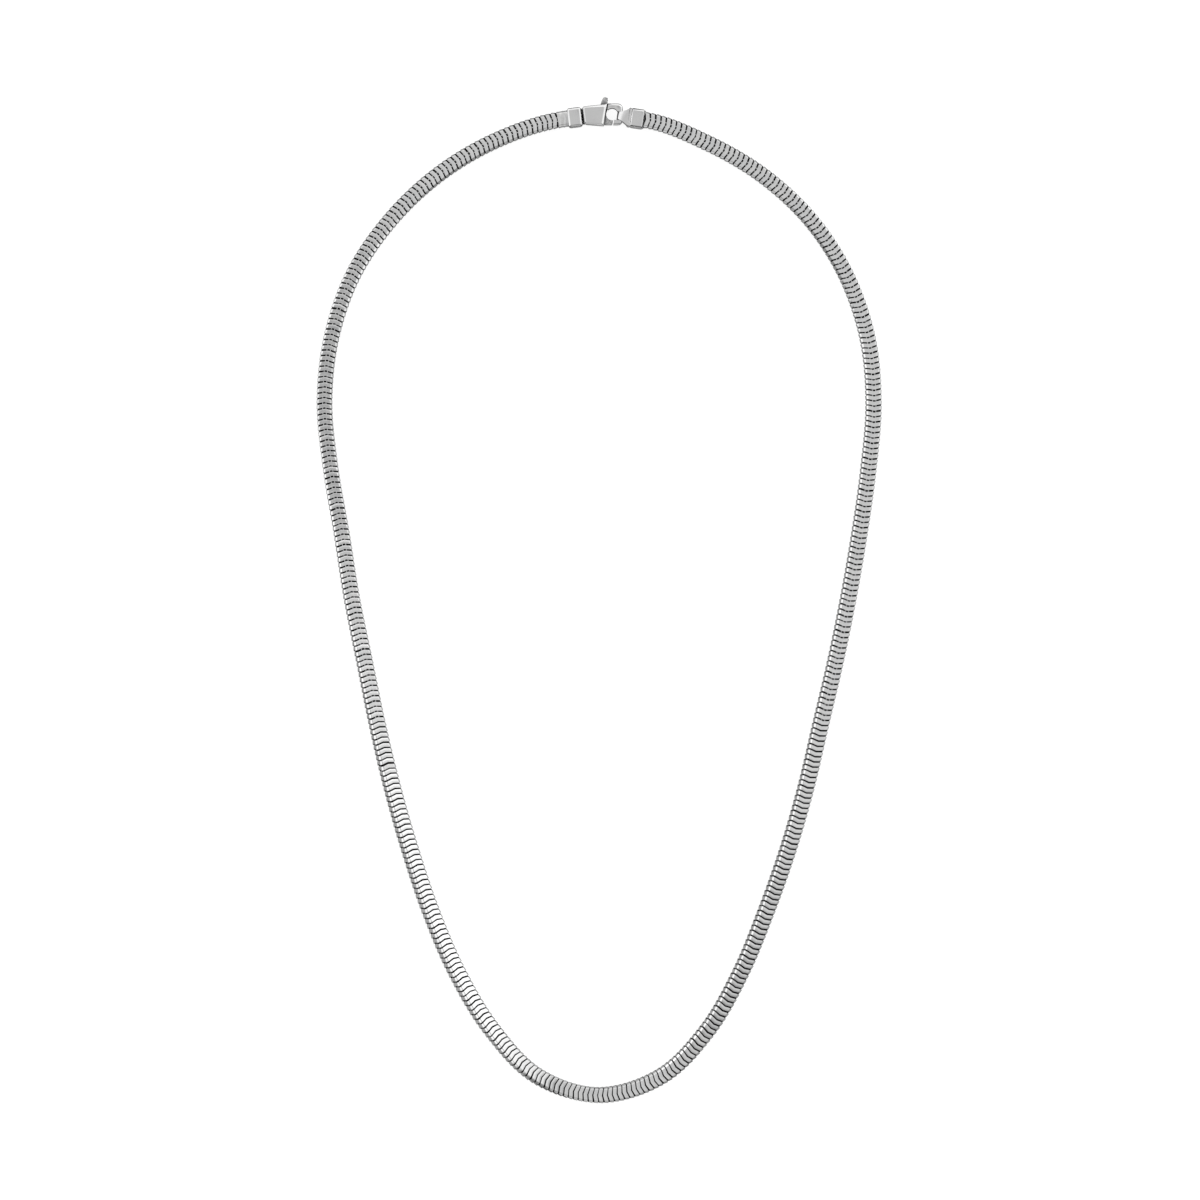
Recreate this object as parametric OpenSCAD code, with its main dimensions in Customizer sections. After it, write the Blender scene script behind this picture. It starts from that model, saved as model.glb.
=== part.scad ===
// Square snake chain necklace, lying in an egg-shaped loop, with a lobster clasp.
// Millimetres, +Z up. The floor is z = 0 and the origin is the middle of the footprint.

/* [Chain] */
// Width of the chain across its flats
chain_w = 4; // [3:0.1:5]
// Cut corner along each edge of the chain
chain_bevel = 0.5; // [0.3:0.05:0.9]

/* [End caps] */
// Wall of a cap around the chain
cap_wall = 0.35; // [0.25:0.05:0.6]
// Cut edge all round a cap
cap_bevel = 0.4; // [0.1:0.05:0.45]
// Depth of the socket that the chain is soldered into
socket_depth = 1.6; // [1:0.1:3]
// Room behind the swivel head in the clasp's cap
chamber_l = 1.2; // [1.1:0.1:2]
// Front wall of the clasp's cap
front_wall = 0.7; // [0.5:0.1:1.2]
// Slope of the clasp's cap against the clasp, in degrees
cap_tilt = 7; // [0:1:10]

/* [Swivel post] */
// Shank of the post
post_d = 1.4; // [1:0.1:1.8]
// Head of the post
post_head_d = 2.4; // [2:0.1:2.8]
// Thickness of the head
post_head_t = 0.8; // [0.5:0.1:1]
// Length of the shank inside the clasp
post_reach = 1.5; // [1:0.1:1.6]
// Gap that shows between the cap and the clasp
swivel_gap = 0.35; // [0.2:0.05:0.6]

/* [Clasp body] */
// From the clasp's rear face to the middle of its opening
body_l = 7.25; // [7:0.05:8.5]
// Height of the rear face, seen from above
body_rear_h = 4.5; // [4:0.1:5]
// Thickness of the clasp from top to bottom
body_t = 3.6; // [3.4:0.1:4.4]
// Cut edge all round the body
body_bevel = 0.4; // [0.2:0.05:0.5]
// Longer cut edge towards the opening
nose_bevel = 0.6; // [0.3:0.05:0.8]
// Longer cut edge at the far corner of the nose
far_bevel = 0.75; // [0.4:0.05:0.9]
// Slope of the nose, in degrees
nose_tilt = 9; // [5:1:12]

/* [Claw] */
// Radius of the clasp's opening
opening_r = 1.48; // [1.4:0.02:1.6]
// Half of the claw's outline
claw_half = 2.7; // [2.6:0.05:3]
// Corner radius of the claw's outline
claw_corner = 1.3; // [0.8:0.1:1.6]
// Thickness of the claw from top to bottom
claw_t = 2.2; // [1.9:0.1:2.4]
// Cut edge round the claw
claw_bevel = 0.35; // [0.1:0.05:0.5]
// Metal left between the eye's seat and the claw's outside
claw_arm = 0.75; // [0.6:0.05:0.9]

/* [Lever] */
// Thickness of the lever
lever_t = 1; // [0.8:0.05:1.2]
// Radius of the lever's boss
boss_r = 0.85; // [0.75:0.05:0.9]
// Hinge pin
pin_d = 0.8; // [0.6:0.05:0.9]
// Length of the hinge pin
pin_l = 2.4; // [2:0.1:2.6]
// Hinge, to the left of the middle of the opening
hinge_x = 2.6; // [2.5:0.05:2.8]
// Hinge, below the middle of the opening
hinge_y = 1.5; // [1.4:0.05:1.6]
// From the hinge to the gate's end
gate_r = 2.8; // [2.5:0.05:2.9]
// Gap between the gate and the claw's tip
gate_gap = 0.25; // [0.15:0.05:0.35]
// Width of the thumb nub at its foot
nub_w = 1.6; // [1.2:0.1:1.8]
// Height of the thumb nub
nub_h = 1.75; // [1.2:0.05:2.2]

/* [Eye] */
// Width of the eye's strap
strap_w = 1.7; // [1.4:0.05:1.8]
// Thickness of the strap over and under the claw
strap_t = 0.5; // [0.4:0.05:0.6]
// Thickness of the strap inside the opening
bar_t = 0.42; // [0.35:0.01:0.5]
// Length over which the strap arches up from the bar
arch_l = 2.2; // [1.8:0.1:2.5]
// From the bar of the eye to its cap
eye_reach = 3.15; // [2.9:0.05:3.6]
// Solid front of the eye's cap
eye_wall = 2; // [1:0.1:2.4]
// Slope of the eye and its cap, in degrees
eye_tilt = 8.7; // [0:0.1:10]

/* [Fits] */
// Gap between the chain and its sockets
solder_gap = 0.05; // [0.03:0.01:0.1]
// Radial play of the hinge pin and of the swivel post
pin_gap = 0.03; // [0.02:0.01:0.06]
// Play on each side of the lever, and over and under the claw
side_gap = 0.12; // [0.08:0.01:0.15]
// Room in front of and behind the claw in the eye
eye_gap = 0.3; // [0.25:0.05:0.35]

/* [Hidden] */
$fn = 48;

// Middle of the clasp's opening
clasp_at = [2.9, 121.6];

// Route of the chain, from the eye round to the clasp: x, y, and the roll of its section in degrees
route = [
    [26.75, 114.5, 0], [40.75, 106.25, 0], [52.75, 95, 0], [61.5, 81.25, -1], [66.75, 65.75, -2],
    [68.25, 49.5, -3], [67, 33.25, -4], [64.75, 17, -5], [62, 1, -6], [58.75, -15, -7], [55, -31, -8],
    [51.25, -47, -10], [46.75, -62.5, -11], [41.25, -78, -11], [35, -93, -10], [26.75, -107.25, -8],
    [15.25, -118.75, -4], [-0.25, -123.5, 2], [-15.75, -118.75, 13], [-27.25, -107, 19.5], [-35.75, -93, 22.5],
    [-42.25, -78, 22.5], [-47.5, -62.5, 21.5], [-52, -46.75, 18.5], [-55.75, -31, 14], [-59, -15, 11],
    [-62.25, 1.25, 8], [-64.75, 17.25, 6], [-67.5, 33.5, 3], [-69, 49.75, 1.5], [-67.25, 66, 1],
    [-62, 81.25, 0], [-52.75, 95, 0], [-41, 106.25, 0], [-27, 114.75, 0]
];

// Flare of the eye into its cap, seen from above: share of the length and of the growth in width
flare = [
    [0, 0.02],
    [0.35, 0.15],
    [0.6, 0.36],
    [0.83, 0.66],
    [1, 0.88]
];

// Outline of the thumb nub: share of its width and of its height
nub_outline = [[0, -0.1], [0, 0], [0.12, 0.35], [0.33, 0.8], [0.62, 1], [0.88, 0.92], [1.07, 0.6], [1, 0], [1, -0.1]];
// Grip ribs on the nub: share of its width and of its height
nub_ribs = [[1.0, 0.2], [1.05, 0.47], [1.02, 0.74]];
rib_r = 0.17;

cap_w = chain_w + 2 * (solder_gap + cap_wall);
axis_z = cap_w / 2;
clasp_cap_l = socket_depth + chamber_l + front_wall;
eye_cap_l = socket_depth + eye_wall;
// The flange in front of the eye's cap
flange_l = 0.4;
flange_bevel = 0.15;
// How far the eye's neck stays below the cap's top
neck_drop = 0.12;
// Length by which a cut runs on past a face that it opens
overcut = 1;

// The clasp's own plane has its origin in the middle of the opening
hinge_at = [-hinge_x, -hinge_y];
nose_gap = 0.12;
// How far the box reaches beyond the claw on the near side, and stays behind it on the far side
chin = 0.2;
brow = 0.15;
// How far the box's rear face sits to the far side of the swivel
rear_shift = 0.25;
seat_x = claw_half - claw_arm;
seat_y = -0.35;
seat_h = 2.1;
seat_corner = 0.4;
swivel_y = -0.55;
slot_t = lever_t + 2 * side_gap;
nub_right = -1.25;
nub_play = 0.2;
// How far the nub travels along the slot's mouth
slot_mouth = 4.2;
slot_floor = 0.2;

swivel_at = clasp_at + [-body_l, swivel_y];
bar_at = clasp_at + [seat_x - eye_gap - bar_t / 2, seat_y];
// Unit vectors away from the clasp along both caps
clasp_cap_way = [-cos(cap_tilt), -sin(cap_tilt)];
eye_cap_way = [cos(eye_tilt), -sin(eye_tilt)];
clasp_mouth = swivel_at + (swivel_gap + clasp_cap_l) * clasp_cap_way;
eye_mouth = bar_at + (eye_reach + eye_cap_l) * eye_cap_way;

// Steps of the chain's tube between two points of its route
steps = 2;

// Rectangle of w by h round the origin, with its corners cut by b
function cut_rectangle(w, h, b) = [
    [b - w / 2, -h / 2], [w / 2 - b, -h / 2], [w / 2, b - h / 2], [w / 2, h / 2 - b],
    [w / 2 - b, h / 2], [b - w / 2, h / 2], [-w / 2, h / 2 - b], [-w / 2, b - h / 2]
];

// Half of the height of the chain's section when it is rolled
function half_height(roll) = let (h = chain_w / 2, f = h - chain_bevel)
    max(f * abs(sin(roll)) + h * cos(roll), h * abs(sin(roll)) + f * cos(roll));

// Smooth step from 0 to 1
function ease(t) = t * t * (3 - 2 * t);

// All points that the chain passes, with the mouths of both caps
stops = concat([[eye_mouth.x, eye_mouth.y, 0]], route, [[clasp_mouth.x, clasp_mouth.y, 0]]);
last_stop = len(stops) - 1;
function span(i) = norm([stops[i + 1].x - stops[i].x, stops[i + 1].y - stops[i].y]);
// Rate of change at a stop, from the chords before and after it, weighted by their lengths
function inner_slope(i) = let (
        before = span(i - 1),
        after = span(i),
        rate_before = (stops[i] - stops[i - 1]) / before,
        rate_after = (stops[i + 1] - stops[i]) / after
    ) (rate_before * after + rate_after * before) / (before + after);
function slope(i) =
    i == 0 ? [eye_cap_way.x, eye_cap_way.y, 0] :
    i == last_stop ? [-clasp_cap_way.x, -clasp_cap_way.y, 0] :
    inner_slope(i);
// Cubic curve between stop i and the next, and its rate of change
function along(i, t) = let (l = span(i))
    (1 + 2 * t) * (1 - t) * (1 - t) * stops[i] + t * (1 - t) * (1 - t) * l * slope(i)
    + t * t * (3 - 2 * t) * stops[i + 1] - t * t * (1 - t) * l * slope(i + 1);
function way(i, t) = let (l = span(i))
    6 * t * (1 - t) / l * (stops[i + 1] - stops[i])
    + (1 - t) * (1 - 3 * t) * slope(i) - t * (2 - 3 * t) * slope(i + 1);
// The chain leaves the caps at their middle and sinks to the floor within one span
function lift(i, t) = (axis_z - chain_w / 2)
    * (i == 0 ? 1 - ease(t) : i == last_stop - 1 ? ease(t) : 0);
function ring(i, t) = let (p = along(i, t), d = way(i, t))
    section([p.x, p.y], [d.x, d.y] / norm([d.x, d.y]), p.z, half_height(p.z) + lift(i, t));
// The chain's section at a place, square to a level direction, rolled and at a height
function section(at, dir, roll, z) = [
    for (c = cut_rectangle(chain_w, chain_w, chain_bevel))
        let (out = c.x * cos(roll) - c.y * sin(roll), up = c.x * sin(roll) + c.y * cos(roll))
        [at.x - dir.y * out, at.y + dir.x * out, z + up]
];
chain_rings = concat(
    [section(eye_mouth - socket_depth * eye_cap_way, eye_cap_way, 0, axis_z)],
    [for (i = [0:last_stop - 1], k = [0:steps - 1]) ring(i, k / steps)],
    [ring(last_stop - 1, 1)],
    [section(clasp_mouth - socket_depth * clasp_cap_way, -clasp_cap_way, 0, axis_z)]
);

// Closed skin through rings that have the same number of points
module skin(rings) {
    n = len(rings[0]);
    last = len(rings) - 1;
    polyhedron(
        points = [for (r = rings, p = r) p],
        faces = concat(
            [[for (i = [0:n - 1]) i]],
            [
                for (j = [0:last - 1], i = [0:n - 1], half = [0, 1])
                    let (a = j * n + i, b = j * n + (i + 1) % n)
                    half == 0 ? [b, a, a + n] : [b, a + n, b + n]
            ],
            [[for (i = [n - 1:-1:0]) last * n + i]]
        )
    );
}

// Block round the origin with every edge cut by b
module bevelled_block(l, w, h, b) {
    intersection() {
        linear_extrude(h, center = true) polygon(cut_rectangle(l, w, b));
        rotate([90, 0, 0]) linear_extrude(w, center = true) polygon(cut_rectangle(l, h, b));
        rotate([90, 0, 90]) linear_extrude(l, center = true) polygon(cut_rectangle(w, h, b));
    }
}

// Cut for the chain, running from the origin towards +X
module socket() {
    side = chain_w + 2 * solder_gap;
    rotate([90, 0, 90]) linear_extrude(socket_depth + overcut)
        polygon(cut_rectangle(side, side, chain_bevel));
}

// Rod along X from a to b
module rod(d, a, b) {
    translate([a, 0, 0]) rotate([0, 90, 0]) cylinder(d = d, h = b - a);
}

// Places a shape that runs towards +X at the rear of the clasp, pointing away from it
module at_swivel() {
    translate([swivel_at.x, swivel_at.y, axis_z]) rotate(180 + cap_tilt) children();
}

// Places a shape that runs towards +X at the bar of the eye, pointing away from the clasp
module at_bar() {
    translate([bar_at.x, bar_at.y, axis_z]) rotate(-eye_tilt) children();
}

module at_clasp() {
    translate([clasp_at.x, clasp_at.y, axis_z]) children();
}

module snake_chain() {
    color("silver") skin(chain_rings);
}

module clasp_cap() {
    chamber_x = swivel_gap + front_wall;
    color("gainsboro") at_swivel() difference() {
        translate([swivel_gap + clasp_cap_l / 2, 0, 0])
            bevelled_block(clasp_cap_l, cap_w, cap_w, cap_bevel);
        translate([chamber_x + chamber_l, 0, 0]) socket();
        rod(post_head_d + 4 * side_gap, chamber_x, chamber_x + chamber_l + overcut);
        rod(post_d + 2 * pin_gap, 0, chamber_x + overcut);
    }
}

module swivel_post() {
    head_x = swivel_gap + front_wall + side_gap;
    color("darkgray") at_swivel() union() {
        rod(post_d, -post_reach, head_x + post_head_t);
        rod(post_head_d, head_x, head_x + post_head_t);
    }
}

// How far left the nose lies at a height, when it is moved in by a length
function nose_x(y, inset) = y * tan(nose_tilt) - (opening_r + nose_gap + inset) / cos(nose_tilt);

// Plan of the clasp's box, with its nose and the far corner of its nose moved in by lengths
module body_plan(nose_inset, far_inset) {
    far = claw_half - brow - far_inset;
    rear = [-body_l, swivel_y + rear_shift];
    up = [-sin(cap_tilt), cos(cap_tilt)];
    rear_half = body_rear_h / 2;
    polygon([
        rear + up * (body_bevel - rear_half),
        rear - up * rear_half + [body_bevel, 0],
        [nose_x(-claw_half - chin, nose_inset), -claw_half - chin],
        [nose_x(far, nose_inset), far],
        rear + up * rear_half + [body_bevel, 0],
        rear + up * (rear_half - body_bevel)
    ]);
}

// Clear way through the claw: the round opening and the eye's seat at its right
module opening_plan() {
    circle(opening_r);
    translate([0, seat_y - seat_h / 2]) square([seat_x - seat_corner, seat_h]);
    translate([0, seat_y - seat_h / 2 + seat_corner]) square([seat_x, seat_h - 2 * seat_corner]);
    for (side = [-1, 1])
        translate([seat_x - seat_corner, seat_y + side * (seat_h / 2 - seat_corner)]) circle(seat_corner);
}

// Rounded block of the claw, with its outer edges cut
module claw_block() {
    hull() {
        for (x = [-1, 1], y = [-1, 1], inset = [0, claw_bevel])
            translate([x * (claw_half - claw_corner), y * (claw_half - claw_corner), 0])
                cylinder(r = claw_corner - inset, h = claw_t - 2 * (claw_bevel - inset), center = true, $fn = 32);
    }
}

// Room that the lever needs inside the body, seen from above
module slot_plan() {
    mouth = claw_half + overcut;
    floor_y = slot_floor - claw_half;
    right = nub_right + nub_play;
    polygon([
        [right, mouth],
        [right - slot_mouth, mouth],
        [right - slot_mouth, claw_half - nub_play],
        [-hinge_x - boss_r - nub_play, floor_y + boss_r],
        [-hinge_x - boss_r - nub_play, floor_y],
        [-hinge_x, floor_y],
        [-hinge_x + side_gap, -mouth],
        [0, -mouth],
        [0, 0],
        [right, opening_r / 2]
    ]);
}

module clasp_body() {
    color("gainsboro") difference() {
        at_clasp() difference() {
            union() {
                hull() {
                    linear_extrude(body_t - 2 * body_bevel, center = true) body_plan(0, 0);
                    linear_extrude(body_t, center = true) offset(delta = -body_bevel)
                        body_plan(nose_bevel - body_bevel, far_bevel - body_bevel);
                }
                difference() {
                    claw_block();
                    translate([hinge_at.x, hinge_at.y, 0])
                        cylinder(r = gate_r + gate_gap, h = 2 * body_t, center = true);
                }
            }
            linear_extrude(2 * body_t, center = true) opening_plan();
            linear_extrude(slot_t, center = true) slot_plan();
            translate([hinge_at.x, hinge_at.y, 0])
                cylinder(d = pin_d + 2 * pin_gap, h = pin_l + 2 * side_gap, center = true);
        }
        at_swivel() rod(post_d + 2 * pin_gap, -post_reach - side_gap, overcut);
    }
}

// Boss, arm, gate and thumb nub, with the opening's round edge and the pin's bore cut out
module clasp_lever() {
    nub_left = nub_right - nub_w;
    module slab() {
        linear_extrude(lever_t, center = true) children();
    }
    module at_hinge() {
        translate([hinge_at.x, hinge_at.y, 0]) children();
    }
    color("lightgray") at_clasp() difference() {
        union() {
            at_hinge() cylinder(r = boss_r, h = lever_t, center = true);
            slab() polygon([
                hinge_at - [boss_r * 0.9, 0],
                hinge_at + [boss_r, 0],
                [-opening_r / 2, -opening_r / 2],
                [nub_right, 0],
                [nub_right, claw_half],
                [nub_left, claw_half]
            ]);
            intersection() {
                at_hinge() cylinder(r = gate_r, h = lever_t, center = true);
                slab() polygon([
                    hinge_at - [0, boss_r],
                    [nose_x(-claw_half, 0) + nub_play, -claw_half],
                    [gate_r, -claw_half],
                    [gate_r, boss_r / 2 - hinge_y],
                    [-hinge_x, boss_r / 2 - hinge_y]
                ]);
            }
            slab() polygon([for (p = nub_outline) [nub_left + p.x * nub_w, claw_half + p.y * nub_h]]);
            for (p = nub_ribs)
                translate([nub_left + p.x * nub_w, claw_half + p.y * nub_h, 0])
                    cylinder(r = rib_r, h = lever_t, center = true);
        }
        cylinder(r = opening_r, h = 2 * lever_t, center = true);
        at_hinge() cylinder(d = pin_d + 2 * pin_gap, h = 2 * lever_t, center = true);
    }
}

module lever_pin() {
    color("darkgray") at_clasp() translate([hinge_at.x, hinge_at.y, 0])
        cylinder(d = pin_d, h = pin_l, center = true);
}

// The strap arches up from the bar as a quarter of an ellipse, and is strap_t thick at the bend round the claw
module eye_cap() {
    start = -bar_t / 2;
    neck_l = eye_reach - flange_l - start;
    neck_top = cap_w / 2 - neck_drop;
    bend_top = claw_t / 2 + side_gap + strap_t;
    arch_h = (neck_top - bend_top) / (1 - sqrt(1 - pow(1 - bar_t / arch_l, 2)));
    function neck_section(l, z) = let (
            x = start + l,
            y = strap_w / 2 + lookup(l / neck_l, flare) * (cap_w - strap_w) / 2
        ) [[x, -y, -z], [x, y, -z], [x, y, z], [x, -y, z]];
    module flared_neck() {
        skin(concat(
            [for (turn = [0:15:90]) neck_section(arch_l * (1 - cos(turn)), neck_top - arch_h * (1 - sin(turn)))],
            [neck_section(neck_l, neck_top)]
        ));
    }
    color("gainsboro") at_bar() difference() {
        union() {
            flared_neck();
            translate([eye_reach - flange_l / 2, 0, 0])
                bevelled_block(2 * flange_l, cap_w - flange_bevel, cap_w - flange_bevel, flange_bevel);
            translate([eye_reach + eye_cap_l / 2, 0, 0])
                bevelled_block(eye_cap_l, cap_w, cap_w, cap_bevel);
        }
        translate([bar_t / 2, -cap_w, -claw_t / 2 - side_gap])
            cube([claw_arm + 2 * eye_gap, 2 * cap_w, claw_t + 2 * side_gap]);
        translate([eye_reach + eye_wall, 0, 0]) socket();
    }
}

snake_chain();
clasp_cap();
swivel_post();
clasp_body();
clasp_lever();
lever_pin();
eye_cap();
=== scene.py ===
import bmesh
import bpy
import numpy as np
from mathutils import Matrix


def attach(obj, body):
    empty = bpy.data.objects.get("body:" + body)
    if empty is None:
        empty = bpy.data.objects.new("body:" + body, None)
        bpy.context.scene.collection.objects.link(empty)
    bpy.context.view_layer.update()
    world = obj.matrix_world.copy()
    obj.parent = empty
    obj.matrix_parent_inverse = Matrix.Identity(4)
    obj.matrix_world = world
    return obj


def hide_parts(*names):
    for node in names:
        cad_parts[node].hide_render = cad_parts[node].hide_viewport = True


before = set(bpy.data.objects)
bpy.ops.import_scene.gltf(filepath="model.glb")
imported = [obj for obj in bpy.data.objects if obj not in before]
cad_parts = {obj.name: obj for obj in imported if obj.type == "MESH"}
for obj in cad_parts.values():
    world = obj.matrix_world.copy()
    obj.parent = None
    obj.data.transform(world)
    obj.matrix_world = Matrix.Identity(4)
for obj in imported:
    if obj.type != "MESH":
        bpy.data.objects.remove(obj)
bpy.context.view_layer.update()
mm = 0.001


# Route of the chain
# The chain leaves the eye's cap, runs down the right side, round the front and up the left side to the
# clasp's cap. It lies on the table under its own weight and rolls a little about its own length on the way.
chain_w = 4 * mm
chain_bevel = 0.5 * mm
socket_depth = 1.6 * mm
cap_axis_z = 2.4 * mm
eye_tilt = np.radians(8.7)
clasp_tilt = np.radians(7)
eye_cap_way = np.array([np.cos(eye_tilt), -np.sin(eye_tilt)])
clasp_cap_way = np.array([-np.cos(clasp_tilt), -np.sin(clasp_tilt)])
# The mouth of the eye's cap, the points that the chain passes, and the mouth of the clasp's cap:
# x and y in millimetres, and the roll of the chain's section in degrees, outer side up
route = np.array([
    [11.012, 120.229, 0],
    [26.75, 114.5, 0], [40.75, 106.25, 0], [52.75, 95, 0], [61.5, 81.25, -1], [66.75, 65.75, -2],
    [68.25, 49.5, -3], [67, 33.25, -4], [64.75, 17, -5], [62, 1, -6], [58.75, -15, -7], [55, -31, -8],
    [51.25, -47, -10], [46.75, -62.5, -11], [41.25, -78, -11], [35, -93, -10], [26.75, -107.25, -8],
    [15.25, -118.75, -4], [-0.25, -123.5, 2], [-15.75, -118.75, 13], [-27.25, -107, 19.5],
    [-35.75, -93, 22.5], [-42.25, -78, 22.5], [-47.5, -62.5, 21.5], [-52, -46.75, 18.5],
    [-55.75, -31, 14], [-59, -15, 11], [-62.25, 1.25, 8], [-64.75, 17.25, 6], [-67.5, 33.5, 3],
    [-69, 49.75, 1.5], [-67.25, 66, 1], [-62, 81.25, 0], [-52.75, 95, 0], [-41, 106.25, 0],
    [-27, 114.75, 0],
    [-8.171, 120.581, 0],
]) * [mm, mm, np.pi / 180]


def route_line(stops, first_way, last_way, steps=48):
    """Middle line of the chain: x, y, height and roll at even shares of every span between two stops.

    Each span is a cubic curve. The slope at a stop is the mean of the chords before and after it, each
    weighted by the other's length, and the line leaves and enters the caps along their axes. The section
    rests on the table with its lowest corner, and rises to the caps' axis within the first and last span.
    """
    span = np.linalg.norm(np.diff(stops[:, :2], axis=0), axis=1)[:, None]
    rate = np.diff(stops, axis=0) / span
    slope = np.empty_like(stops)
    slope[1:-1] = (rate[:-1] * span[1:] + rate[1:] * span[:-1]) / (span[1:] + span[:-1])
    slope[0] = [*first_way, 0]
    slope[-1] = [*last_way, 0]
    t = (np.arange(steps) / steps)[None, :, None]
    reach = span[:, :, None]
    curve = (
        (1 + 2 * t) * (1 - t) ** 2 * stops[:-1, None]
        + t * (1 - t) ** 2 * reach * slope[:-1, None]
        + t ** 2 * (3 - 2 * t) * stops[1:, None]
        - t ** 2 * (1 - t) * reach * slope[1:, None]
    )
    x, y, roll = np.vstack([curve.reshape(-1, 3), stops[-1]]).T
    half = chain_w / 2
    flat = half - chain_bevel
    side, top = np.abs(np.sin(roll)), np.cos(roll)
    height = np.maximum(flat * side + half * top, half * side + flat * top)
    passed = np.arange(len(roll)) / steps
    rise = np.clip(np.maximum(1 - passed, passed - passed[-1] + 1), 0, 1)
    height += (cap_axis_z - half) * rise ** 2 * (3 - 2 * rise)
    return np.column_stack([x, y, height, roll])


line = route_line(route, eye_cap_way, -clasp_cap_way)
line_s = np.append(0, np.cumsum(np.linalg.norm(np.diff(line[:, :2], axis=0), axis=1)))
chain_length = line_s[-1]


def chain_frames(s):
    """Places and axes of the chain's section at lengths s: middle, travel, outward and upward vectors.

    Travel is the level direction of the line there. Outward is square to it, to the left, and upward is
    straight up, both turned by the roll. Lengths before 0 or past the end run on straight into the caps.
    """
    held = np.clip(s, 0, chain_length)
    at = np.column_stack([np.interp(held, line_s, line[:, k]) for k in range(4)])
    step = 0.05 * mm
    ahead = np.column_stack([np.interp(held + step, line_s, line[:, k]) for k in range(2)])
    behind = np.column_stack([np.interp(held - step, line_s, line[:, k]) for k in range(2)])
    way = ahead - behind
    way /= np.linalg.norm(way, axis=1)[:, None]
    middle = np.column_stack([at[:, :2] + (s - held)[:, None] * way, at[:, 2]])
    cos, sin = np.cos(at[:, 3]), np.sin(at[:, 3])
    travel = np.column_stack([way, np.zeros(len(s))])
    outward = np.column_stack([-way[:, 1] * cos, way[:, 0] * cos, sin])
    upward = np.column_stack([way[:, 1] * sin, -way[:, 0] * sin, cos])
    return middle, travel, outward, upward


# Chain links
# About 450 links of polished silver sheet, each bent round into a square ring with cut corners. The edges
# bow forward in the middle of each side, so the gaps run across the chain as blunt arrows. A link is widest
# at its rear edge and sinks a little to the front, under the rear edge of the next, like scales.
link_pitch = 1.325 * mm
link_w = chain_w - 0.03 * mm
side_gap = 0.42 * mm
corner_gap = 0.38 * mm
bevel_gap = 0.42 * mm
link_bow = 0.16 * mm
link_flare = 0.13 * mm
link_crown = 0.025 * mm
link_wall = 0.45 * mm
bend = 0.13 * mm
# An edge that turns by more than this is sharp, in degrees
sharp_turn = 30
# The share of the pitch by which links close up in the tight bend at the front, and how far that reaches
front_squeeze = 0.075
front_reach = 24 * mm
# How much a link sits askew in its neighbours: nod and sway in degrees, and slide along the chain
nod_spread = 0.6
sway_spread = 0.4
slide_spread = 0.012 * mm
askew_seed = 11


def cut_square(width):
    """Outline of the chain's section at a given width, counterclockwise from the middle of its right side:
    in each quarter the middle of a side, then the two ends of each of the two rounded bends of a cut."""
    half = width / 2
    cut = chain_bevel * width / chain_w
    round_off = bend * width / chain_w
    slant = round_off / np.sqrt(2)
    quarter = np.array([
        [half, 0],
        [half, half - cut - round_off],
        [half - slant, half - cut + slant],
        [half - cut + slant, half - slant],
        [half - cut - round_off, half],
    ])
    turns = [quarter]
    for _ in range(3):
        turns.append(turns[-1] @ [[0, 1], [-1, 0]])
    return np.vstack(turns)


def link_loops():
    """One link's four loops round its section, as across, up and along: rear edge, crown, front edge and
    inner edge. The bow is its amplitude times the cosine of four times the angle from the top: forward in
    the middle of each side and back at the corners. The gap between links is narrowest at the corners."""
    outline = cut_square(link_w)
    bow = link_bow * np.cos(4 * np.arctan2(outline[:, 0], outline[:, 1]))
    gap = np.tile([side_gap, corner_gap, bevel_gap, bevel_gap, corner_gap], 4)
    half_plate = (link_pitch - gap) / 2
    loops = []
    for drop, along in (
        (0, bow - half_plate),
        (link_flare / 2 - link_crown, bow),
        (link_flare, bow + half_plate),
        (link_wall, bow),
    ):
        loops.append(np.column_stack([outline * (1 - 2 * drop / link_w), along]))
    return np.array(loops)


def link_normals(loops):
    """Normals at the four corners of each of a link's quads, as across, up and along. Round the outside
    they are square to the side or the cut that a point belongs to, so those shade flat and only the bends
    between them shade round. They lean to the front with the flare. Inside, zero leaves the mesh's own."""
    quarter = np.radians([0, 0, 45, 45, 90])
    facing = (np.arange(4)[:, None] * np.pi / 2 + quarter).ravel()
    middle_of_side = loops[:, 0]
    fall = -np.diff(middle_of_side[:3, 0]) / np.diff(middle_of_side[:3, 2])
    lean = np.array([fall[0], fall.mean(), fall[1]])
    out = np.empty((3, len(facing), 3))
    out[..., 0] = np.cos(facing)
    out[..., 1] = np.sin(facing)
    out[..., 2] = lean[:, None]
    out /= np.linalg.norm(out, axis=-1, keepdims=True)
    after = np.roll(out, -1, axis=1)
    outside = np.stack([out[:-1], after[:-1], after[1:], out[1:]], axis=2)
    return np.concatenate([outside, np.zeros_like(outside)])


def ring_faces(copies, loops, points):
    """Quads that close every copy of a ring: each joins two points of a loop to the same two of the next
    loop, and the last loop joins the first."""
    loop, point = np.meshgrid(np.arange(loops), np.arange(points), indexing="ij")
    next_loop = (loop + 1) % loops
    next_point = (point + 1) % points
    quad = np.stack([
        loop * points + point,
        loop * points + next_point,
        next_loop * points + next_point,
        next_loop * points + point,
    ], axis=-1).reshape(-1, 4)
    return (np.arange(copies)[:, None, None] * loops * points + quad).reshape(-1, 4)


def turned(shape, axes):
    """Every link's copy of a shape. The shape is given as across, up and along, and its last index is
    summed over each link's own three axes in that order."""
    return np.einsum("...k,lkc->l...c", shape, axes)


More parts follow.
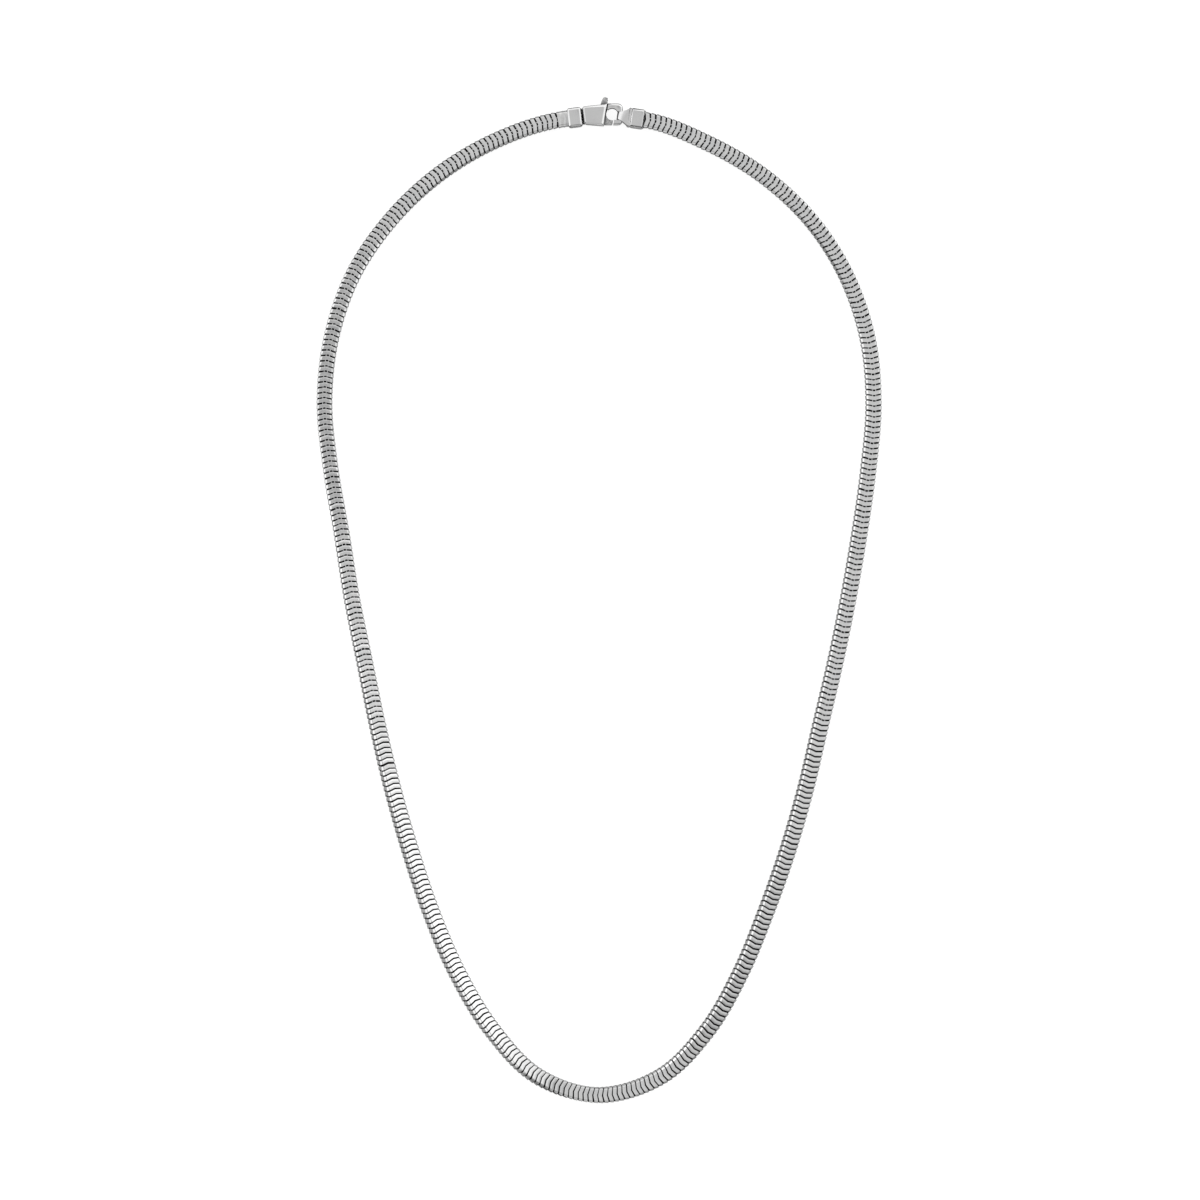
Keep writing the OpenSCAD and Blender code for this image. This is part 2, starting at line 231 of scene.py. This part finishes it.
def add_mesh(name, points, faces, body):
    """A new piece from an array of points and its faces, smooth but for its sharp edges, on a body."""
    mesh = bpy.data.meshes.new(name)
    mesh.from_pydata(points.reshape(-1, 3), [], faces)
    mesh.shade_smooth()
    mesh.set_sharp_from_angle(angle=np.radians(sharp_turn))
    piece = bpy.data.objects.new(name, mesh)
    bpy.context.scene.collection.objects.link(piece)
    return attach(piece, body)


# Links are counted off along the line by the pitch at each place, and the rest is shared out over them all
front_s = line_s[np.argmin(line[:, 1])]
pitch_at = link_pitch * (1 - front_squeeze * np.exp(-((line_s - front_s) / front_reach) ** 2))
counted = np.append(0, np.cumsum(np.diff(line_s) * 2 / (pitch_at[1:] + pitch_at[:-1])))
link_count = round(counted[-1])
link_s = np.interp((np.arange(link_count) + 0.5) * counted[-1] / link_count, counted, line_s)

rng = np.random.default_rng(askew_seed)
nod = np.radians(rng.normal(0, nod_spread, link_count))[:, None]
sway = np.radians(rng.normal(0, sway_spread, link_count))[:, None]
slide = rng.normal(0, slide_spread, link_count)

link_middle, travel, outward, upward = chain_frames(link_s + slide)
link_axes = np.stack([
    outward - sway * travel,
    upward - nod * travel,
    travel + nod * upward + sway * outward,
], axis=1)
shape = link_loops()
link_points = link_middle[:, None, None] + turned(shape, link_axes)
links = add_mesh("chain_links", link_points, ring_faces(link_count, *shape.shape[:2]), "necklace")
links.data.normals_split_custom_set(turned(link_normals(shape), link_axes).reshape(-1, 3))
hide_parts("snake_chain")

# Painted shade: black is painted on each link's walls in the gaps, where shade falls between the links. It
# is full at a link's inner edge and fades out towards its front and rear edges. Its faces are clean, but
# for a faint trace on the bends, a painted shade line between a side and a cut.
bend_shade_line = 0.02
full_shade_value = 0.15
link_shade = np.zeros((*shape.shape[:2], 4, 4), np.float32)
link_shade[:2, 1::5] = bend_shade_line
link_shade[:2, 3::5] = bend_shade_line
link_shade[2, :, 2:] = 1
link_shade[3, :, :2] = 1
painted_shade = links.data.color_attributes.new("painted_shade", "FLOAT_COLOR", "CORNER")
painted_shade.data.foreach_set("color", np.tile(link_shade.ravel(), link_count))


# A noise value stays almost wholly within this span, and patches of tone blend within a narrower one
noise_span = (0.3, 0.7)
patch_span = (0.35, 0.65)
# Smears and scratches are this many humps to a metre
smear_scale = 900
scratch_scale = 5200


def add_noise(nodes, tree_links, scale, detail):
    """Noise in the piece's own metres, with that many humps to a metre, as a value from 0 to 1."""
    noise = nodes.new("ShaderNodeTexNoise")
    noise.inputs["Scale"].default_value = scale
    noise.inputs["Detail"].default_value = detail
    tree_links.new(nodes.new("ShaderNodeTexCoord").outputs["Object"], noise.inputs["Vector"])
    return noise.outputs["Fac"]


def add_range(nodes, tree_links, value, span, result=(0, 1)):
    """Turns the span of a value into the span of a result, and holds the result's ends beyond."""
    spread = nodes.new("ShaderNodeMapRange")
    spread.inputs["From Min"].default_value, spread.inputs["From Max"].default_value = span
    spread.inputs["To Min"].default_value, spread.inputs["To Max"].default_value = result
    tree_links.new(value, spread.inputs["Value"])
    return spread.outputs["Result"]


def add_tones(nodes, tree_links, value, span, dark, light):
    """A colour that goes from a dark tone to a light one over the span of a value."""
    tones = nodes.new("ShaderNodeValToRGB")
    for mark, place, colour in zip(tones.color_ramp.elements, span, (dark, light)):
        mark.position = place
        mark.color = (*colour, 1)
    tree_links.new(value, tones.inputs["Fac"])
    return tones.outputs["Color"]


def silver(name, dark, light, polish, haze, scratch_depth, patch_scale=260, painted_shade_of=None):
    """Polished silver. Its colour drifts between two tones in patches, a few millimetres wide on polished
    pieces. Its roughness goes from polish to haze with finer smears, and fine scratches from buffing are
    its bump. Where shade is painted on it, the last argument adds the nodes that say how black that painted
    shade is, from 0 to 1."""
    material = bpy.data.materials.new(name)
    material.use_nodes = True
    nodes, tree_links = material.node_tree.nodes, material.node_tree.links
    shader = nodes["Principled BSDF"]
    shader.inputs["Metallic"].default_value = 1

    patches = add_noise(nodes, tree_links, patch_scale, detail=3)
    colour = add_tones(nodes, tree_links, patches, patch_span, dark, light)
    if painted_shade_of:
        # Painted shade: the colour goes to near black where the shade nodes say
        blackened = nodes.new("ShaderNodeMix")
        blackened.data_type = "RGBA"
        blackened.inputs["B"].default_value = (0.015, 0.015, 0.016, 1)
        tree_links.new(colour, blackened.inputs["A"])
        tree_links.new(painted_shade_of(nodes, tree_links), blackened.inputs["Factor"])
        colour = blackened.outputs["Result"]
    tree_links.new(colour, shader.inputs["Base Color"])

    smears = add_noise(nodes, tree_links, smear_scale, detail=4)
    roughness = add_range(nodes, tree_links, smears, noise_span, (polish, haze))
    tree_links.new(roughness, shader.inputs["Roughness"])

    bump = nodes.new("ShaderNodeBump")
    bump.inputs["Strength"].default_value = 0.6
    bump.inputs["Distance"].default_value = scratch_depth
    tree_links.new(add_noise(nodes, tree_links, scratch_scale, detail=2), bump.inputs["Height"])
    tree_links.new(bump.outputs["Normal"], shader.inputs["Normal"])
    return material


def shade_on_links(nodes, tree_links):
    """Black as painted shade, by the links' own attribute of it, which counts in full from the full value
    on.
    """
    painted = nodes.new("ShaderNodeAttribute")
    painted.attribute_name = "painted_shade"
    return add_range(nodes, tree_links, painted.outputs["Fac"], (0, full_shade_value))


chain_silver = silver(
    "chain_silver", dark=(0.84, 0.845, 0.85), light=(0.91, 0.91, 0.905),
    polish=0.1, haze=0.18, scratch_depth=0.0012 * mm, painted_shade_of=shade_on_links)
links.data.materials.append(chain_silver)


# Link tongues
# Each link hooks over the next with small tongues, two on its top and two on its bottom. Where the chain
# runs straight they show in the gaps and break them into dashes. Round the front, where they would lie too
# deep to show, they are left out.
tongue_across = 0.42 * mm
tongue_w = 0.15 * mm
tongue_t = 0.25 * mm
tongue_sunk = 0.09 * mm
tongue_overlap = 0.2 * mm
shows_beyond_y = -30 * mm

# Corners of the four tongues of a link, as across, up and along. Each spans the gap ahead of its link
above, place, x, y, z = np.meshgrid(*[[-1, 1]] * 5, indexing="ij")
across = place * tongue_across + x * tongue_w / 2
up = above * (link_w / 2 - tongue_sunk - tongue_t / 2) + y * tongue_t / 2
along = link_pitch / 2 + link_bow + z * (side_gap / 2 + tongue_overlap)
tongue_shape = np.stack([across, up, along], axis=-1).reshape(-1, 3)

hooked = link_middle[:, 1] > shows_beyond_y
tongue_points = link_middle[hooked, None] + turned(tongue_shape, link_axes[hooked])
box_faces = np.array([[0, 1, 3, 2], [4, 6, 7, 5], [0, 4, 5, 1], [2, 3, 7, 6], [0, 2, 6, 4], [1, 5, 7, 3]])
tongue_faces = (np.arange(hooked.sum() * 4)[:, None, None] * 8 + box_faces).reshape(-1, 4)
tongues = add_mesh("link_tongues", tongue_points, tongue_faces, "necklace")
tongues.data.materials.append(chain_silver)


# Sleeve of painted shade
# Inside the chain, where the links' lips overlap, a tight black sleeve is painted shade, and is what shows
# as black in the gaps. In the tight front bend it swells towards the surface.
sleeve_w = 3.5 * mm
sleeve_front_w = 3.62 * mm
sleeve_ring_gap = 2.4 * mm
# The painted black is lighter in spots, this many humps to a metre. Its tone goes from dark to light over
# the span of that noise, and its roughness is the first number where it is darkest and the second where it
# is lightest
spot_scale = 1500
spot_span = (0.4, 0.75)
black_roughness = (0.75, 0.5)


def swept_tube(s, widths):
    """Cut squares of the given widths at lengths s of the chain, as loops round the tube."""
    at, _, out, up = chain_frames(s)
    spread = cut_square(1)[None] * widths[:, None, None]
    return at[:, None] + spread[..., :1] * out[:, None] + spread[..., 1:] * up[:, None]


def tube_faces(loops, points):
    """Quads between neighbouring loops of a tube, and one face that closes each end."""
    loop, point = np.meshgrid(np.arange(loops - 1), np.arange(points), indexing="ij")
    a = loop * points + point
    b = loop * points + (point + 1) % points
    quads = np.stack([b, a, a + points, b + points], axis=-1).reshape(-1, 4).tolist()
    return quads + [list(range(points)), list(range(loops * points - 1, (loops - 1) * points - 1, -1))]


def painted_black(name, dark, light):
    """Painted shade: a near-black, matt metal that stands for shade, a little lighter in random spots."""
    material = bpy.data.materials.new(name)
    material.use_nodes = True
    nodes, tree_links = material.node_tree.nodes, material.node_tree.links
    shader = nodes["Principled BSDF"]
    shader.inputs["Metallic"].default_value = 0.5
    shader.inputs["Specular IOR Level"].default_value = 0.2
    spots = add_noise(nodes, tree_links, spot_scale, detail=3)
    colour = add_tones(nodes, tree_links, spots, spot_span, dark, light)
    tree_links.new(colour, shader.inputs["Base Color"])
    roughness = add_range(nodes, tree_links, spots, noise_span, black_roughness)
    tree_links.new(roughness, shader.inputs["Roughness"])
    return material


# Painted shade: this near-black material stands for shade on the sleeve and on pieces and walls deep in
# gaps
inner_silver = painted_black("inner_silver", dark=(0.004, 0.004, 0.004), light=(0.014, 0.014, 0.015))
sleeve_s = np.arange(-socket_depth, chain_length + socket_depth, sleeve_ring_gap)
sleeve_swell = np.exp(-((sleeve_s - front_s) / front_reach) ** 2)
sleeve_points = swept_tube(sleeve_s, sleeve_w + (sleeve_front_w - sleeve_w) * sleeve_swell)
sleeve = add_mesh("painted_shade_sleeve", sleeve_points, tube_faces(*sleeve_points.shape[:2]), "necklace")
sleeve.data.materials.append(inner_silver)


# Solder at the clasp's end
# The last links are flooded with solder where they enter the clasp's cap, so their gaps are only shallow
# grooves. The solder thins out towards the free links.
solder_w = 0.965 * chain_w
solder_l = 2.5 * mm
solder_in_cap = 0.3 * mm
solder_taper = 0.9 * mm
solder_loops = 9

solder_s = np.linspace(chain_length - solder_l, chain_length + solder_in_cap, solder_loops)
solder_rise = np.clip((solder_s - solder_s[0]) / solder_taper, 0, 1)
solder_points = swept_tube(solder_s, sleeve_w + (solder_w - sleeve_w) * np.sqrt(solder_rise))
solder = add_mesh("solder_at_clasp", solder_points, tube_faces(*solder_points.shape[:2]), "necklace")
solder.data.materials.append(silver(
    "solder", dark=(0.6, 0.6, 0.61), light=(0.8, 0.8, 0.79),
    polish=0.22, haze=0.4, scratch_depth=0.006 * mm))


# End caps
# Two cast boxes of polished silver, bevelled all round, with the chain soldered into their sockets. The
# clasp's cap also holds the head of the swivel post. The other is one casting with its flange and eye.
cut_rounding = 0.27 * mm
rim_rounding = 0.05 * mm
rounding_steps = 3
# Least turn over the edges of a cut face and over a sharp rim, in degrees
cut_turn = 25
rim_turn = 60
# The most that an edge is rounded, as a share of the width of the narrower face beside it
rounding_share = 0.47
# Points nearer than this are one, and faces that turn by less than this, in degrees, are one face
merge_distance = 0.0005 * mm
flat_turn = 0.5
# Middle of the clasp's opening, how far from it the strap eye's walls inside are painted with shade, and
# the most that the normal of an upright wall may rise
opening_at = np.array([2.9, 121.6]) * mm
eye_shade_reach = 2.1 * mm
upright_rise = 0.5
# Painted shade in crevices: bright down to the first share of open space within the reach, black from the
# second down
crevice_reach = 1 * mm
crevice_open = 0.78
crevice_shut = 0.6


def shade_in_crevices(nodes, tree_links, with_neighbours=False):
    """Painted shade: black where the space round the surface is shut in, by the piece itself or also by its
    neighbours.
    """
    open_share = nodes.new("ShaderNodeAmbientOcclusion")
    open_share.samples = 6
    open_share.only_local = not with_neighbours
    open_share.inputs["Distance"].default_value = crevice_reach
    return add_range(nodes, tree_links, open_share.outputs["AO"], (crevice_open, crevice_shut))


def finished_casting(node, body, material, inside_reach=0, inside_material=None):
    """A copy of a CAD solid with its loose triangles merged and its edges rounded, which stands for it.
    Both edges of a cut face are rounded until they nearly meet in the middle of it, so the cut becomes a
    round. Sharp rims get a fine rounding. Flat faces and round walls stay where they are. Upright walls
    within a reach of the middle of the clasp's opening may have a material of their own."""
    shape = bmesh.new()
    shape.from_mesh(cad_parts[node].data)
    bmesh.ops.remove_doubles(shape, verts=shape.verts, dist=merge_distance)
    bmesh.ops.dissolve_limit(
        shape, angle_limit=np.radians(flat_turn), verts=shape.verts, edges=shape.edges)
    turn = np.degrees([edge.calc_face_angle(0) for edge in shape.edges])
    length = np.array([edge.calc_length() for edge in shape.edges])
    narrow = np.array([min(face.calc_area() for face in edge.link_faces) for edge in shape.edges]) / length
    mesh = bpy.data.meshes.new(node + "_finished")
    shape.to_mesh(mesh)
    shape.free()
    mesh.shade_smooth()
    mesh.materials.append(material)
    if inside_material:
        mesh.materials.append(inside_material)
        middles = np.array([face.center for face in mesh.polygons])
        upright = np.abs([face.normal.z for face in mesh.polygons]) < upright_rise
        inside = upright & (np.linalg.norm(middles[:, :2] - opening_at, axis=1) < inside_reach)
        mesh.polygons.foreach_set("material_index", inside.astype(np.int32))

    rounding = np.where(turn > rim_turn, rim_rounding, np.where(turn > cut_turn, cut_rounding, 0))
    rounding = np.minimum(rounding, rounding_share * narrow)
    weight = mesh.attributes.new("bevel_weight_edge", "FLOAT", "EDGE")
    weight.data.foreach_set("value", (rounding / cut_rounding).astype(np.float32))

    piece = bpy.data.objects.new(node + "_finished", mesh)
    bpy.context.scene.collection.objects.link(piece)
    bevel = piece.modifiers.new("rounded_edges", "BEVEL")
    bevel.width = cut_rounding
    bevel.segments = rounding_steps
    bevel.limit_method = "WEIGHT"
    bevel.use_clamp_overlap = False
    bevel.harden_normals = True
    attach(piece, body)
    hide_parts(node)
    return piece


cap_silver = silver(
    "cap_silver", dark=(0.78, 0.78, 0.785), light=(0.83, 0.83, 0.825),
    polish=0.07, haze=0.13, scratch_depth=0.0008 * mm, painted_shade_of=shade_in_crevices)
finished_casting("clasp_cap", "necklace", cap_silver)
# Painted shade: the upright walls inside the strap eye near the opening take the near-black material
finished_casting("eye_cap", "necklace", cap_silver, eye_shade_reach, inner_silver)


# Swivel post
# A headed pin of drawn silver wire that lets the clasp turn in its cap. Only its shank shows, in the gap,
# and it is near-black with painted shade.
finished_casting("swivel_post", "necklace", inner_silver)


# Clasp
# The body is cast in one piece: a bevelled box with two cheeks, and a round claw with the clasp's opening,
# whose walls inside are rough and dark with painted shade. A painted shade line crosses the claw along the
# slanted end of the box.
nose_tilt = np.radians(9)
nose_way = np.array([np.cos(nose_tilt), -np.sin(nose_tilt), 0])
# A painted shade line where the box's end wall meets the claw: its middle and its width
shade_line_off_middle = 1.6 * mm
shade_line_at = np.array([*opening_at, 0]) - shade_line_off_middle * nose_way
shade_line_w = 0.26 * mm
claw_shade_reach = 1.55 * mm
cast_grain = 2200


def add_math(nodes, tree_links, operation, *values):
    """A Math node of one to three inputs, each a socket or a number."""
    node = nodes.new("ShaderNodeMath")
    node.operation = operation
    for socket, value in zip(node.inputs, values):
        if isinstance(value, bpy.types.NodeSocket):
            tree_links.new(value, socket)
        else:
            socket.default_value = value
    return node.outputs["Value"]


def add_vector_math(nodes, tree_links, operation, vector, amount=(0, 0, 0)):
    """A Vector Math node of a vector socket and a constant vector. Its result is a vector or a number."""
    node = nodes.new("ShaderNodeVectorMath")
    node.operation = operation
    node.inputs[1].default_value = amount
    tree_links.new(vector, node.inputs[0])
    return node.outputs["Value" if operation in ("DOT_PRODUCT", "DISTANCE") else "Vector"]


def oxide_on_clasp(nodes, tree_links):
    """Painted shade: black in the clasp's own crevices and in a painted shade line, a strip from its place
    on along the nose's way.
    """
    from_shade_line = add_vector_math(
        nodes, tree_links, "SUBTRACT", nodes.new("ShaderNodeTexCoord").outputs["Object"], shade_line_at)
    past_shade_line = add_vector_math(nodes, tree_links, "DOT_PRODUCT", from_shade_line, nose_way)
    in_shade_line = add_math(nodes, tree_links, "COMPARE", past_shade_line, shade_line_w / 2, shade_line_w / 2)
    return add_math(nodes, tree_links, "MAXIMUM", shade_in_crevices(nodes, tree_links), in_shade_line)


clasp_silver = silver(
    "clasp_silver", dark=(0.78, 0.78, 0.785), light=(0.83, 0.83, 0.825),
    polish=0.07, haze=0.13, scratch_depth=0.0008 * mm, painted_shade_of=oxide_on_clasp)
# Painted shade: the claw's walls inside the opening are near-black, and rough
claw_inside_shaded = silver(
    "claw_inside_shaded", dark=(0.08, 0.08, 0.082), light=(0.2, 0.2, 0.198),
    polish=0.3, haze=0.45, scratch_depth=0.004 * mm, patch_scale=cast_grain)
finished_casting("clasp_body", "necklace", clasp_silver, claw_shade_reach, claw_inside_shaded)


# Lever
# One casting of thumb nub, arm and gate, only tumbled and not polished, so it is mottled grey. It turns on
# a pin of drawn wire between the cheeks of the clasp's box.


def shade_on_lever(nodes, tree_links):
    """Painted shade: black in the lever's own crevices and in those between it and the box."""
    return shade_in_crevices(nodes, tree_links, with_neighbours=True)


lever_silver = silver(
    "lever_silver", dark=(0.38, 0.38, 0.385), light=(0.66, 0.66, 0.655),
    polish=0.22, haze=0.42, scratch_depth=0.004 * mm, patch_scale=cast_grain, painted_shade_of=shade_on_lever)
finished_casting("clasp_lever", "lever", lever_silver)
# The lever's pin is near-black with painted shade
finished_casting("lever_pin", "necklace", inner_silver)


# Table
# A plain table top, far larger than the picture. The camera sees it just burnt out to white, as a backdrop
# that is lit on its own. What the silver mirrors of it is painted a satin grey, painted shade which draws
# the dark outlines.
table_half = 3000 * mm
table_mirrored = 0.55
table_seen = 0.3
table_lift = 0.85
# The table lies in deep shade under the slit between the clasp's cap and its box: middle and half size of
# the shade, and the share of that half over which it ends
slit_at = (-4.5 * mm, 121.25 * mm, 0)
slit_half = (0.6 * mm, 2 * mm, 1)
slit_softness = 0.07
# Painted shade in what the silver mirrors of the table: darker past the far and the near end of the loop
mirror_shade_half_y = 120.5 * mm
mirror_shade_fade = 3 * mm
mirror_shade_end = 0.15

table_points = np.array([[-1, -1, 0], [1, -1, 0], [1, 1, 0], [-1, 1, 0]]) * table_half
table_mesh = bpy.data.meshes.new("table")
table_mesh.from_pydata(table_points.tolist(), [], [[0, 1, 2, 3]])
table = bpy.data.objects.new("table", table_mesh)
bpy.context.scene.collection.objects.link(table)

table_top = bpy.data.materials.new("table_top")
table_top.use_nodes = True
table_mesh.materials.append(table_top)
table_nodes, table_links = table_top.node_tree.nodes, table_top.node_tree.links
table_shader = table_nodes["Principled BSDF"]
table_shader.inputs["Roughness"].default_value = 0.2
table_shader.inputs["IOR"].default_value = 1.6
table_shader.inputs["Emission Color"].default_value = (1, 1, 1, 1)
table_place = table_nodes.new("ShaderNodeTexCoord").outputs["Object"]

# The distance from the slit is in half sizes, along whichever of x and y it is greater
from_slit = add_vector_math(table_nodes, table_links, "SUBTRACT", table_place, slit_at)
from_slit = add_vector_math(table_nodes, table_links, "ABSOLUTE", from_slit)
from_slit = add_vector_math(table_nodes, table_links, "DIVIDE", from_slit, slit_half)
slit_sides = table_nodes.new("ShaderNodeSeparateXYZ")
table_links.new(from_slit, slit_sides.inputs["Vector"])
from_slit = add_math(
    table_nodes, table_links, "MAXIMUM", slit_sides.outputs["X"], slit_sides.outputs["Y"])
out_of_slit = add_range(table_nodes, table_links, from_slit, (1 - slit_softness, 1 + slit_softness))

table_sides = table_nodes.new("ShaderNodeSeparateXYZ")
table_links.new(table_place, table_sides.inputs["Vector"])
from_middle = add_math(table_nodes, table_links, "ABSOLUTE", table_sides.outputs["Y"])
mirror_shade = add_range(
    table_nodes, table_links, from_middle, (mirror_shade_half_y, mirror_shade_half_y + mirror_shade_fade),
    (table_mirrored, mirror_shade_end))

seen = table_nodes.new("ShaderNodeLightPath").outputs["Is Camera Ray"]
for socket, mirrored, straight in (
    ("Base Color", mirror_shade, table_seen),
    ("Emission Strength", 0, table_lift),
):
    in_view = add_math(table_nodes, table_links, "MULTIPLY", out_of_slit, straight)
    in_view = add_math(table_nodes, table_links, "MULTIPLY", seen, in_view)
    unseen = add_math(table_nodes, table_links, "SUBTRACT", 1, seen)
    in_mirror = add_math(table_nodes, table_links, "MULTIPLY", unseen, mirrored)
    both = add_math(table_nodes, table_links, "ADD", in_view, in_mirror)
    table_links.new(both, table_shader.inputs[socket])


# Light tent
# The necklace lies in a white tent, greyer at the top round the opening for the camera. A dark card leans
# in over the near side, and the far side is open low over the table.

# Brightness from straight above, at 0 degrees, down to the table, at 90
tent_rings = [(0, 0.62), (20, 0.62), (25, 0.7), (34, 0.76), (38, 0.9), (43, 0.98), (55, 1.13), (90, 1.13)]
# How much of it is left on the near side: share of the way towards it, and share left
near_side = [(0.38, 1.0), (0.5, 0.6), (0.57, 0.22), (0.72, 0.22), (0.88, 0.5), (1, 0.6)]
# A white panel hangs over the far side, and under it is an open dark stretch, low over the table
far_side = [(0.38, 1.0), (0.42, 1.35), (0.6, 1.35), (0.7, 1.0)]
far_low = [(0.55, 1.0), (0.72, 0.5), (1, 0.5)]
low_down = [(0.1, 1.0), (0.3, 0)]
# The arm that holds the camera reaches in from the far side: its direction, then distance and share left
arm_way = (0.02, 0.32, 0.947)
arm_dark = [(0.08, 0.66), (0.15, 1)]
# No ramp of the tent goes above this
brightest = 2

world = bpy.data.worlds.new("light_tent")
bpy.context.scene.world = world
world.use_nodes = True
tent_nodes, tent_links = world.node_tree.nodes, world.node_tree.links
tent = tent_nodes["Background"]
tent.inputs["Color"].default_value = (1, 1, 1, 1)


def tent_math(operation, *values):
    """A Math node of the tent, of sockets or numbers."""
    return add_math(tent_nodes, tent_links, operation, *values)


def tent_ramp(value, stops):
    """Brightness through stops of place and brightness, as a grey ramp up to the brightest, scaled back."""
    ramp = tent_nodes.new("ShaderNodeValToRGB")
    ramp.color_ramp.interpolation = "EASE"
    marks = ramp.color_ramp.elements
    marks.remove(marks[1])
    for number, (place, brightness) in enumerate(stops):
        mark = marks.new(place) if number else marks[0]
        mark.position = place
        mark.color = (*[brightness / brightest] * 3, 1)
    tent_links.new(value, ramp.inputs["Fac"])
    return tent_math("MULTIPLY", ramp.outputs["Color"], brightest)


tent_way = tent_nodes.new("ShaderNodeTexCoord").outputs["Generated"]
direction = tent_nodes.new("ShaderNodeSeparateXYZ")
tent_links.new(tent_way, direction.inputs["Vector"])
from_top = tent_math("DIVIDE", tent_math("ARCCOSINE", direction.outputs["Z"]), np.pi / 2)
rings = tent_ramp(from_top, [(degrees / 90, brightness) for degrees, brightness in tent_rings])
near = tent_ramp(tent_math("MULTIPLY", direction.outputs["Y"], -1), near_side)
far = tent_ramp(direction.outputs["Y"], far_side)
walls = tent_math("MULTIPLY", tent_math("MULTIPLY", rings, near), far)
opened = tent_math("SUBTRACT", 1, tent_ramp(direction.outputs["Y"], far_low))
opened = tent_math("MULTIPLY", opened, tent_ramp(direction.outputs["Z"], low_down))
walls = tent_math("MULTIPLY", walls, tent_math("SUBTRACT", 1, opened))
off_arm = add_vector_math(tent_nodes, tent_links, "DISTANCE", tent_way, arm_way)
tent_links.new(tent_math("MULTIPLY", walls, tent_ramp(off_arm, arm_dark)), tent.inputs["Strength"])


# Camera
# It looks straight down on the loop through a long lens, which takes in a square of 300 mm at the height of
# the chain's middle.
camera_data = bpy.data.cameras.new("camera")
camera_data.lens = 180
camera_data.sensor_width = 36
camera_off_chain = 1500 * mm
camera = bpy.data.objects.new("camera", camera_data)
camera.location = (-0.125 * mm, 0.25 * mm, chain_w / 2 + camera_off_chain)
bpy.context.scene.collection.objects.link(camera)
bpy.context.scene.camera = camera
bpy.context.scene.view_settings.view_transform = "Standard"
